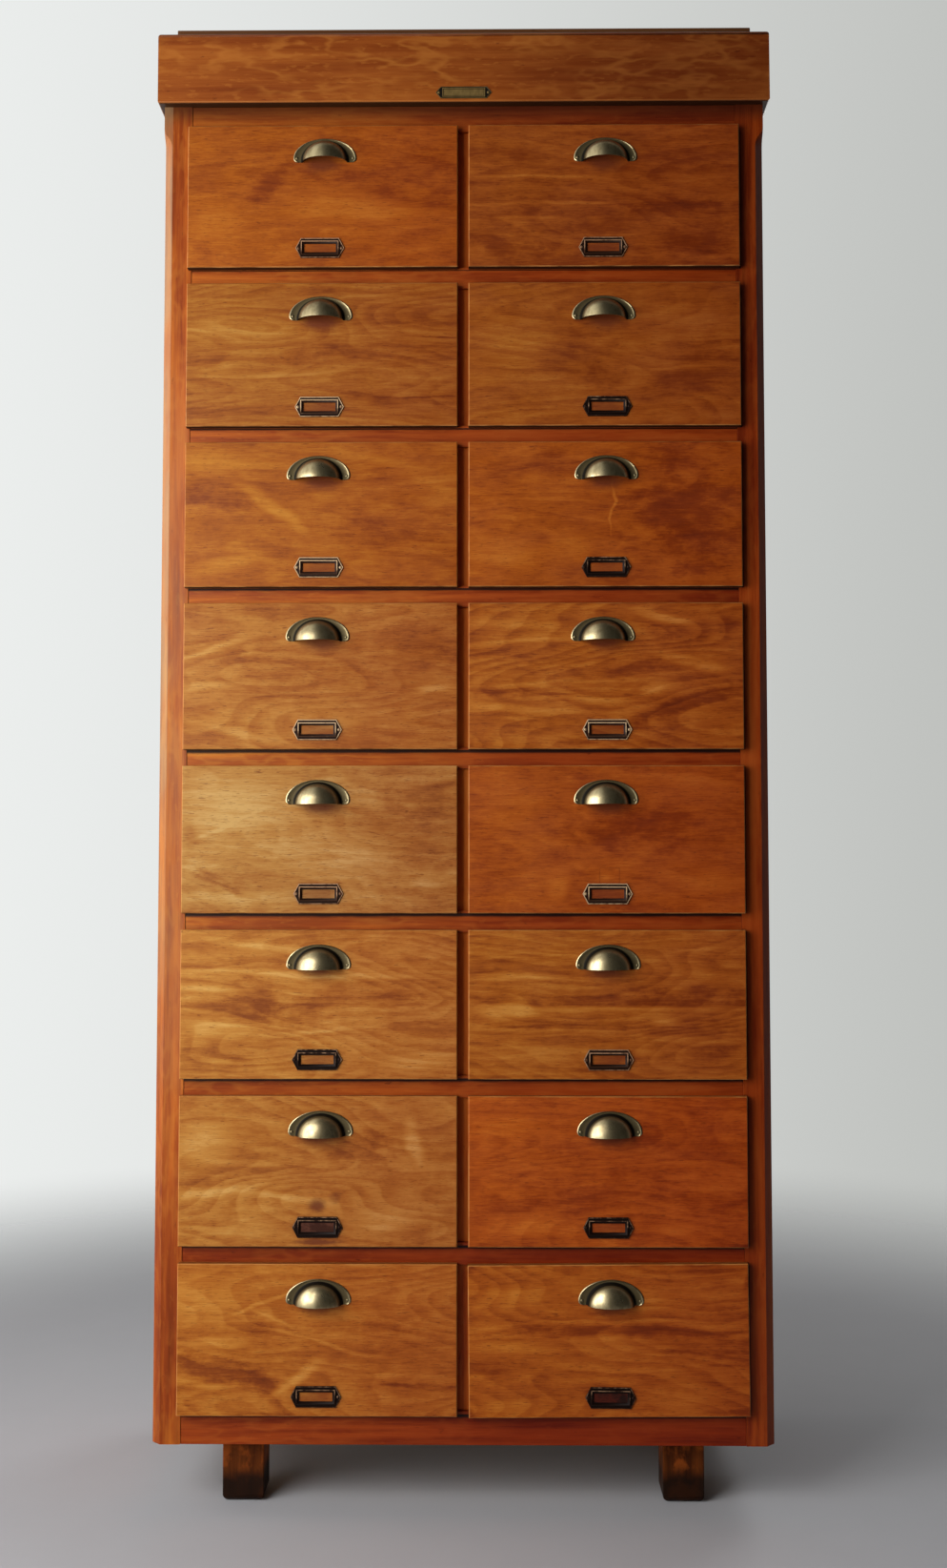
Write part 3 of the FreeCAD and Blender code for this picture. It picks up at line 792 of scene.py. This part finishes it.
def paintPostHighlight(place, colour):
    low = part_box("front_posts")[0]
    x, y, z = split(vectorCalc("SUBTRACT", place, low))
    height = plus(z, low[2])
    patchy = ease(noise(place, (30, 30, 9), 3), 0.3, 0.6, 0.5, 1.0)
    onChamfer = ease(plus(x, y), sheenLook["width"], sheenLook["width"] - 0.001)
    amount = times(onChamfer, ease(height, *sheenLook["heights"]), patchy, sheenLook["strength"])
    colour = mix(amount, colour, sheenLook["colour"])
    fromMiddle = calc("ABSOLUTE", minus(height, sheenLook["middle"]))
    litMiddle = ease(fromMiddle, *sheenLook["middleReach"])
    amount = times(ease(x, *sheenLook["face"]), litMiddle, patchy, sheenLook["faceStrength"])
    return mix(amount, colour, sheenLook["colour"])


# The feet are worn to bare orange wood in the middle and near-black close to the floor
footLook = {
    "worn": (0.29, 0.062, 0.007),
    # the near-black close to the floor
    "dirt": (0.009, 0.004, 0.002),
    "darkHeight": 0.048,
}


def scuffFoot(place, colour):
    x, y, z = split(place)
    patchy = noise(place, (26, 26, 18), 4, 0.6)
    colour = mix(ease(patchy, 0.48, 0.6, 0.0, 0.8), colour, footLook["worn"])
    height = centred(patchy, 0.05, footLook["darkHeight"])
    # near-black close to the floor
    return mix(ease(minus(z, height), 0.006, -0.016, 0.0, 0.93), colour, footLook["dirt"])


# The crown's lower edge is rubbed and its upper one sooty; its underside has painted shade, and painted
# shade darkens it to the right
crownLook = {
    "rubbed": (0.003, 0.0018, 0.0, 0.5),
    "sooty": (0.01, 0.0, 0.0, 0.6),
    "underneath": (-0.6, -0.85, 0.0, 0.92),
    "shade": (-0.15, 0.35, 1.08, 0.72),
}


def ageAndShadeCrown(place, colour, stops, normal):
    x, y, z = split(place)
    low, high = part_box("crown")
    colour = mix(ease(minus(z, low[2]), *crownLook["rubbed"]), colour, stops[-1][1])
    colour = mix(ease(minus(high[2], z), *crownLook["sooty"]), colour, stops[0][1])
    # painted shade on the underside
    colour = mix(ease(split(normal)[2], *crownLook["underneath"]), colour, veneerLook["undersideShade"])
    # painted shade, darker to the right
    shade = ease(x, *crownLook["shade"])
    return scaled(colour, join(shade, calc("POWER", shade, 1.3), shade))


# Wood, direction of the grain, and width of the softened edges in metres
caseFinishes = {
    "front_posts": ("frame", "z", 0.0008),
    "side_frames": ("frame", "sides", 0.0008),
    "side_panels": ("panel", "z", 0.0006),
    "front_rails": ("frame", "x", 0.0008),
    "muntins": ("muntin", "z", 0.0008),
    "centre_partition": ("inner", "z", 0.0005),
    "case_boards": ("inner", "x", 0.0005),
    "runners": ("inner", "y", 0.0006),
    "back_panel": ("back", "z", 0.0005),
    "top_board": ("top", "x", 0.001),
    "feet": ("foot", "z", 0.0012),
    "crown": ("crown", "crown", 0.0008),
}
for nodeName, (kind, grain, softness) in caseFinishes.items():
    finishNode(nodes[nodeName], woodMaterial(nodeName.replace("_", " ") + " wood", kind, grain), softness)
boxWood = woodMaterial("drawer box wood", "box", "box")
for side in sides:
    for row in rows:
        finishNode(nodes[f"{side}_front_{row}"], frontMaterial(side, row), veneerLook["softness"])
        finishNode(nodes[f"{side}_box_{row}"], boxWood, 0.0006)
print("wood finished")


# Small metal pieces are built from rings of points, each joined to the next, and the last one to
# the first if the piece runs back. Local coordinates are millimetres: across, up, and out from the
# drawer front.
def addRings(points, faces, rings, closed=True, back=False):
    start, count = len(points), len(rings[0])
    for ring in rings:
        points.extend(ring)
    for row in range(len(rings) if back else len(rings) - 1):
        first = start + row * count
        second = start + (row + 1) % len(rings) * count
        for step in range(count if closed else count - 1):
            after = (step + 1) % count
            faces.append((first + step, second + step, second + after, first + after))


# Moves every side of an outline inwards by a distance, or outwards if it is negative
def inset(outline, distance):
    moved = []
    for index in range(len(outline)):
        before, here = Vector(outline[index - 1]), Vector(outline[index])
        after = Vector(outline[(index + 1) % len(outline)])
        first, second = (here - before).normalized(), (after - here).normalized()
        inward = Vector((-first.y - second.y, first.x + second.x)) / (1 + first.dot(second))
        moved.append(tuple(here + inward * distance))
    return moved


# The rings of a profile: each is inset from the outline, has a height and a patina. Corners below the
# middle can get painted shade, carried as more patina, where the light doesn't fall on them.
def ringsAlong(outline, profile, shades, lowShade=0.0):
    rings = []
    for distance, out, patina in profile:
        rings.append([(*point, out) for point in inset(outline, distance)])
        shades.extend(min(1.0, patina + lowShade * (up < 0)) for across, up in outline)
    return rings


# A pin is a low dome on a short neck, closed by its top point
pinLook = {
    "radius": 2.3,
    "height": 1.3,
    "neck": 0.6,
    "around": 16,
    "turns": (0.0, 0.5, 0.85, 1.2),  # of the dome's rings, in radians
}


def addPin(points, faces, across, up, seat):
    count, height = pinLook["around"], pinLook["height"]
    sections = [(pinLook["radius"], seat - pinLook["neck"])]
    for turn in pinLook["turns"]:
        sections.append((pinLook["radius"] * math.cos(turn), seat + height * math.sin(turn)))
    angles = [2 * math.pi * step / count for step in range(count)]
    rings = []
    for radius, out in sections:
        rings.append([(across + radius * math.cos(a), up + radius * math.sin(a), out) for a in angles])
    start = len(points)
    addRings(points, faces, rings)
    top = len(points)
    points.append((across, up, seat + height))
    last = top - count
    for step in range(count):
        faces.append((last + step, top, last + (step + 1) % count))
    faces.append(tuple(range(start, start + count)))


# Two pins, one on each side of the middle
def addPins(points, faces, shades, across, up, seat, patina):
    for place in (-across, across):
        addPin(points, faces, place, up, seat)
    shades.extend([patina] * (len(points) - len(shades)))


def buildFitting(name, points, faces, shades, anchor, turn, material, slotName, body):
    mesh = bpy.data.meshes.new(name)
    mesh.from_pydata([(across / 1000, -out / 1000, up / 1000) for across, up, out in points], [], faces)
    mesh.validate()
    if shades:
        layer = mesh.attributes.new("patina", "FLOAT", "POINT")
        layer.data.foreach_set("value", shades)
    mesh.transform(Matrix.Translation(anchor) @ Matrix.Rotation(turn, 4, "Y"))
    piece = bpy.data.objects.new(name, mesh)
    scene.collection.objects.link(piece)
    mesh.shade_smooth()
    mesh.set_sharp_from_angle(angle=math.radians(38))
    mesh.materials.append(material)
    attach(piece, body)
    return piece


# Cup pull: a back plate with a raised rim and a hollow dome that is open below
pullLook = {
    "halfWidth": 47.0,
    "shoulder": -12.0,  # height where the half-oval starts
    "arch": 30.0,  # height of the half-oval above its shoulders
    "lobe": 6.0,
    "cupHalfWidth": 34.4,
    "cupHeight": 31.6,
    "sill": -18.0,  # height of the cup's open lower edge
    "projection": 23.6,
    "shell": 1.4,
    "steps": 56,
    "lobeSteps": 7,
    # share of the way from the plate's edge to the cup, height, patina
    "rim": (
        (0.0, 0.0, 0.6), (0.0, 1.0, 0.2), (0.05, 1.6, 0.0), (0.11, 1.8, 0.0), (0.18, 1.4, 0.35),
        (0.28, 1.0, 0.5), (0.7, 0.9, 0.62),
    ),
    # size of the ring, height as a share of the projection, patina
    "dome": (
        (1.035, 0.045, 0.9), (1.012, 0.06, 1.0), (0.995, 0.11, 1.0), (0.982, 0.19, 1.0), (0.956, 0.3, 0.95),
        (0.918, 0.4, 0.72), (0.868, 0.5, 0.3), (0.8, 0.6, 0.05), (0.714, 0.7, 0.0), (0.6, 0.8, 0.0),
        (0.436, 0.9, 0.0), (0.31, 0.95, 0.0), (0.2, 0.98, 0.0), (0.1, 0.995, 0.0), (0.0, 1.0, 0.0),
    ),
    "hollowPatina": (0.6, 0.8),  # at the deepest point, and on the walls
    "pins": (42.0, -12.0, 1.1, 0.35),  # across, up, height of the seat, patina
}


def plateOutline():
    half, lobe, shoulder = pullLook["halfWidth"], pullLook["lobe"], pullLook["shoulder"]
    lobePoints = []
    for step in range(pullLook["lobeSteps"]):
        turn = math.pi / 2 * (step / pullLook["lobeSteps"] - 1)
        lobePoints.append((half - lobe + lobe * math.cos(turn), shoulder + lobe * math.sin(turn)))
    archSteps = pullLook["steps"] - 2 * pullLook["lobeSteps"]
    turns = [math.pi * step / archSteps for step in range(archSteps + 1)]
    archPoints = [(half * math.cos(turn), shoulder + pullLook["arch"] * math.sin(turn)) for turn in turns]
    return lobePoints + archPoints + [(-across, up) for across, up in reversed(lobePoints)]


def cupOutline(shrink=0.0):
    wide, tall = pullLook["cupHalfWidth"] - shrink, pullLook["cupHeight"] - shrink
    turns = [math.pi * step / pullLook["steps"] for step in range(pullLook["steps"] + 1)]
    return [(wide * math.cos(turn), pullLook["sill"] + tall * math.sin(turn)) for turn in turns]


def domeRing(outline, size, out):
    sill = pullLook["sill"]
    return [(across * size, sill + (up - sill) * size, out) for across, up in outline]


def pullMesh():
    rim, dome, shell = pullLook["rim"], pullLook["dome"], pullLook["shell"]
    projection = pullLook["projection"]
    plate, cup, hollow = plateOutline(), cupOutline(), cupOutline(shell)
    count = len(cup)
    points, faces, rings, shades = [], [], [], []
    for share, out, patina in rim:
        ring = [[a + (b - a) * share for a, b in zip(outer, inner)] for outer, inner in zip(plate, cup)]
        rings.append([(*point, out) for point in ring])
        shades += [patina] * count
    for size, height, patina in dome:
        rings.append(domeRing(cup, size, height * projection))
        shades += [patina] * count
    for size, height, patina in reversed(dome):
        rings.append(domeRing(hollow, size, max(0.0, height * projection - shell)))
        shades += [pullLook["hollowPatina"][size > 0]] * count
    addRings(points, faces, rings, closed=False, back=True)
    # the two lower ends, where the lip runs into the plate
    deepest = len(rim) + len(dome)  # the first ring of the hollow
    ends = []
    for step in range(len(dome) - 1):
        ends.append((deepest - 1 - step, deepest + step, deepest + 1 + step, deepest - 2 - step))
    ends.append((*range(len(rim) + 1), len(rings) - 1))
    for column, order in ((0, 1), (count - 1, -1)):
        for end in ends:
            faces.append([ring * count + column for ring in end[::order]])
    addPins(points, faces, shades, *pullLook["pins"])
    return points, faces, shades


# Old brass: bright where it is rubbed, brown where dirt stays
brassLooks = {
    "pull": {
        "bright": (0.42, 0.34, 0.19), "brown": (0.2, 0.15, 0.075),
        "tarnish": (0.105, 0.078, 0.036), "dirt": (0.008, 0.006, 0.004), "metallic": 0.95,
    },
    "plate": {
        "bright": (0.27, 0.175, 0.06), "brown": (0.13, 0.08, 0.026),
        "tarnish": (0.05, 0.032, 0.014), "dirt": (0.008, 0.006, 0.004), "metallic": 0.4,
    },
}


def patinaOf(shader):
    return addNode(shader.id_data, "ShaderNodeAttribute", attribute_name="patina").outputs["Fac"]


def brassMaterial(kind):
    look = brassLooks[kind]
    material, shader, place = startMaterial(kind + " brass", Specular_IOR_Level=0.08)
    patina = patinaOf(shader)
    cloudy = noise(place, (110, 160, 50), 4, 0.6)
    specks = noise(place, (700, 700, 500), 2)
    colour = mix(ease(cloudy, 0.38, 0.7, 0.0, 0.7), look["bright"], look["brown"])
    colour = mix(ease(specks, 0.62, 0.75, 0.0, 0.35), colour, look["tarnish"])
    colour = mix(ease(patina, 0.1, 0.55), colour, look["tarnish"])
    colour = mix(ease(patina, 0.6, 0.95), colour, look["dirt"])
    metal = ease(patina, 0.2, 0.6, look["metallic"], look["metallic"] * 0.5)
    setShader(
        shader,
        Base_Color=colour,
        Metallic=times(metal, ease(patina, 0.65, 1.0, 1.0, 0.1)),
        Roughness=calc("MULTIPLY_ADD", patina, 0.2, ease(cloudy, 0.3, 0.7, 0.27, 0.35)),
    )
    addBump(shader, specks, 0.00001)
    return material


# Label frames: a six-sided plate with a raised rim, and a bezel round the window
labelLook = {
    "outline": ((36.5, 0), (28.5, 15), (-28.5, 15), (-36.5, 0), (-28.5, -15), (28.5, -15)),
    "window": ((24, 0), (24, 6.5), (-24, 6.5), (-24, 0), (-24, -6.5), (24, -6.5)),
    # inset from the outline or from the window, height, patina
    "rim": ((0.0, 0.0, 0.6), (0.0, 1.6, 0.2), (0.3, 2.1, 0.0), (1.2, 2.1, 0.0), (1.6, 1.2, 1.0)),
    "bezel": (
        (-4.5, 1.2, 1.0), (-4.3, 2.5, 0.6), (-4.0, 3.0, 0.0), (-2.9, 3.0, 0.0), (-2.5, 2.6, 1.0),
        (-0.4, 1.9, 1.0), (0.0, 1.6, 1.0), (0.0, 0.0, 1.0),
    ),
    "rimLowShade": 0.25,  # painted shade on the lower corners, carried as more patina
    "bezelLowShade": 0.75,
    "pins": (32.3, 0.0, 1.2, 0.3),  # as for the pull
    "metallic": 0.2,
    "dirtShare": 0.96,
}


def labelMesh():
    points, faces, shades = [], [], []
    rings = ringsAlong(labelLook["outline"], labelLook["rim"], shades, labelLook["rimLowShade"])
    rings += ringsAlong(labelLook["window"], labelLook["bezel"], shades, labelLook["bezelLowShade"])
    addRings(points, faces, rings, back=True)
    addPins(points, faces, shades, *labelLook["pins"])
    return points, faces, shades


labelFinishes = {
    "silver": {
        "high": (0.68, 0.46, 0.26), "low": (0.17, 0.08, 0.038), "dirt": (0.011, 0.003, 0.002),
        "wear": 0.68, "slot": "card_metal",
    },
    "brown": {
        "high": (0.48, 0.27, 0.15), "low": (0.12, 0.048, 0.022), "dirt": (0.01, 0.003, 0.001),
        "wear": 0.6, "slot": "card_metal",
    },
    "black": {
        "high": (0.4, 0.23, 0.13), "low": (0.024, 0.009, 0.005), "dirt": (0.006, 0.002, 0.001),
        "wear": 0.44, "slot": "card_black",
    },
}
labelOrder = {
    "left": ("brown", "silver", "silver", "silver", "brown", "black", "black", "black"),
    "right": ("brown", "black", "black", "silver", "silver", "brown", "black", "black"),
}


def labelMaterial(kind):
    look = labelFinishes[kind]
    material, shader, place = startMaterial(kind + " label metal", Specular_IOR_Level=0.1)
    patina = patinaOf(shader)
    cloudy = noise(place, (130, 130, 130), 4, 0.65)
    wear = calc("MULTIPLY_ADD", patina, -0.5, plus(cloudy, look["wear"] - 0.5))
    colour = mix(ease(wear, 0.35, 0.65), look["low"], look["high"])
    setShader(
        shader,
        Base_Color=mix(times(patina, labelLook["dirtShare"]), colour, look["dirt"]),
        Metallic=ease(patina, 0.0, 1.0, labelLook["metallic"], 0.0),
        Roughness=ease(wear, 0.2, 0.8, 0.5, 0.28),
    )
    addBump(shader, noise(place, (600, 600, 600), 3), 0.00005)
    return material


# Two frames still hold an old card
cardLooks = {
    ("left", 7): {"size": (52.0, 17.0), "colour": (0.045, 0.014, 0.008), "worn": (0.1, 0.034, 0.02)},
    ("right", 8): {"size": (50.0, 14.5), "colour": (0.065, 0.01, 0.005), "worn": (0.018, 0.006, 0.004)},
}
cardProfile = ((0.0, 0.25, 0.0), (0.0, 0.8, 0.0), (0.3, 0.95, 0.0))  # inset, height, patina


def addCard(side, row, anchor, turn):
    look = cardLooks[(side, row)]
    name = f"old card {side} {row}"
    material, shader, place = startMaterial(name, Roughness=0.7, Specular_IOR_Level=0.1)
    blotch = noise(place, (60, 60, 110), 4, 0.6)
    setShader(shader, Base_Color=mix(ease(blotch, 0.4, 0.65), look["colour"], look["worn"]))
    addBump(shader, noise(place, (500, 500, 500), 3), 0.00004)
    wide, tall = look["size"][0] / 2, look["size"][1] / 2
    corners = ((wide, -tall), (wide, tall), (-wide, tall), (-wide, -tall))
    points, faces = [], []
    addRings(points, faces, ringsAlong(corners, cardProfile, []))
    faces += [(3, 2, 1, 0), (8, 9, 10, 11)]
    body = f"{side}_drawer_{row}"
    buildFitting(f"{side}_card_{row}", points, faces, None, anchor, turn, material, "card_paper", body)


# Where the two pieces of a drawer's fittings lie: at which end of the CAD node, upper or lower, how
# far they reach from there, and the height of their middle, in metres
fittingPlaces = {"pull": (1, 0.034, -0.018), "label": (0, 0.03, 0.015)}
tilts = {("right", 8): 0.5}  # degrees
brass = brassMaterial("pull")
labelMaterials = {kind: labelMaterial(kind) for kind in labelFinishes}
pullParts = pullMesh()
labelParts = labelMesh()
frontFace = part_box("left_front_1")[0][1]


def fittingAnchor(nodeName, piece):
    end, reach, middle = fittingPlaces[piece]
    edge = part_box(nodeName)[end][2]
    corners = [vertex.co for vertex in nodes[nodeName].data.vertices]
    across = [corner.x for corner in corners if abs(corner.z - edge) < reach]
    return Vector(((min(across) + max(across)) / 2, frontFace, edge + middle))


for side in sides:
    for row in rows:
        nodeName = f"{side}_fittings_{row}"
        body = f"{side}_drawer_{row}"
        turn = math.radians(tilts.get((side, row), 0.0))
        pullAnchor, labelAnchor = fittingAnchor(nodeName, "pull"), fittingAnchor(nodeName, "label")
        pullName, labelName = f"{side}_pull_{row}", f"{side}_label_frame_{row}"
        pull = buildFitting(pullName, *pullParts, pullAnchor, turn, brass, "pull_brass", body)
        kind = labelOrder[side][row - 1]
        metal, slotName = labelMaterials[kind], labelFinishes[kind]["slot"]
        label = buildFitting(labelName, *labelParts, labelAnchor, turn, metal, slotName, body)
        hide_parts(nodeName)
        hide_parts(nodeName)
        if (side, row) in cardLooks:
            addCard(side, row, labelAnchor, turn)
print("pulls and label frames built")

# A small plate on the crown: a dark holder with pointed ends round a strip of brass
plateLook = {
    "outline": ((42.0, 0), (34.5, 9), (-34.5, 9), (-42.0, 0), (-34.5, -9), (34.5, -9)),
    "strip": ((31.5, 0), (31.5, 6.3), (-31.5, 6.3), (-31.5, 0), (-31.5, -6.3), (31.5, -6.3)),
    "place": (0.001, 0.0137),  # across, and up from the crown's lower edge, in metres
    # inset from the outline or from the edge of the strip, height, patina
    "rim": ((0.0, 0.0, 1.0), (0.0, 0.8, 0.7), (0.4, 1.3, 0.2), (0.9, 1.3, 0.4), (1.5, 0.8, 1.0)),
    "face": (
        (-0.9, 0.8, 1.0), (-0.4, 1.6, 0.1), (0.5, 1.6, 0.0),
        (0.9, 1.1, 0.7), (1.6, 1.1, 0.3), (2.4, 1.1, 0.05),
    ),
    "pins": (37.0, 0.0, 0.8, 0.3),  # as for the pull
}


def addPlate():
    points, faces, shades = [], [], []
    rings = ringsAlong(plateLook["outline"], plateLook["rim"], shades)
    rings += ringsAlong(plateLook["strip"], plateLook["face"], shades)
    addRings(points, faces, rings)
    corners = range(len(rings[0]))
    faces.append([len(points) - 1 - corner for corner in corners])
    faces.append(list(corners))
    addPins(points, faces, shades, *plateLook["pins"])
    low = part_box("crown")[0]
    anchor = Vector((plateLook["place"][0], low[1], low[2] + plateLook["place"][1]))
    material = brassMaterial("plate")
    buildFitting("crown_plate", points, faces, shades, anchor, 0.0, material, "plate_brass", "case")


addPlate()
print("crown plate built")
